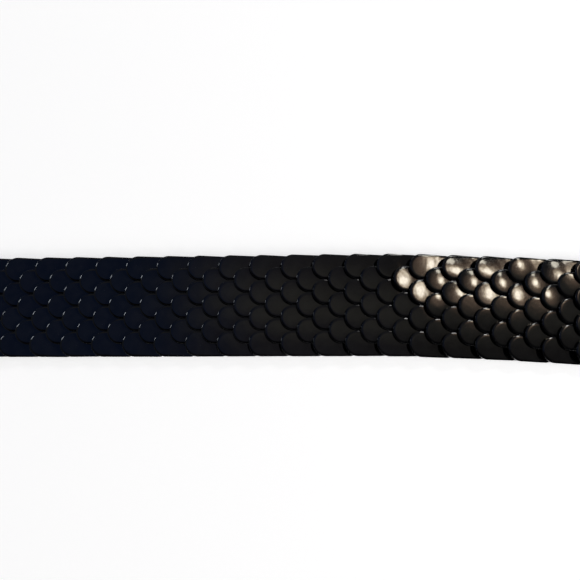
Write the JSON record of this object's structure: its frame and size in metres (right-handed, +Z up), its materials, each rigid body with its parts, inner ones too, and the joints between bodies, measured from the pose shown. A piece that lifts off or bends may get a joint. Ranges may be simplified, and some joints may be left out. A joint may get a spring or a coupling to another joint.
{
  "type": "fish-scale stretch belt",
  "caption": "Elastic stretch belt laid open on its back, its face covered by staggered rows of black domed metal scales, with a plain hook and eye clasp.",
  "frame": {"origin": "middle of the belt's box on the surface that it lies on", "axes": "+X along the belt from the hook clasp to the eye clasp, +Y across it, +Z up out of the scaled face"},
  "size_m": [0.6496, 0.0456, 0.0057],
  "materials": {
    "black_elastic": "woven rib elastic",
    "black_enamel": "gloss black enamel on stamped metal",
    "clasp_enamel": "gloss black enamel on cast metal"
  },
  "bodies": {
    "root": {"elastic_band": "black_elastic", "scale_field": "black_enamel", "clasp_hook": "clasp_enamel", "clasp_eye": "clasp_enamel"}
  },
  "joints": []
}
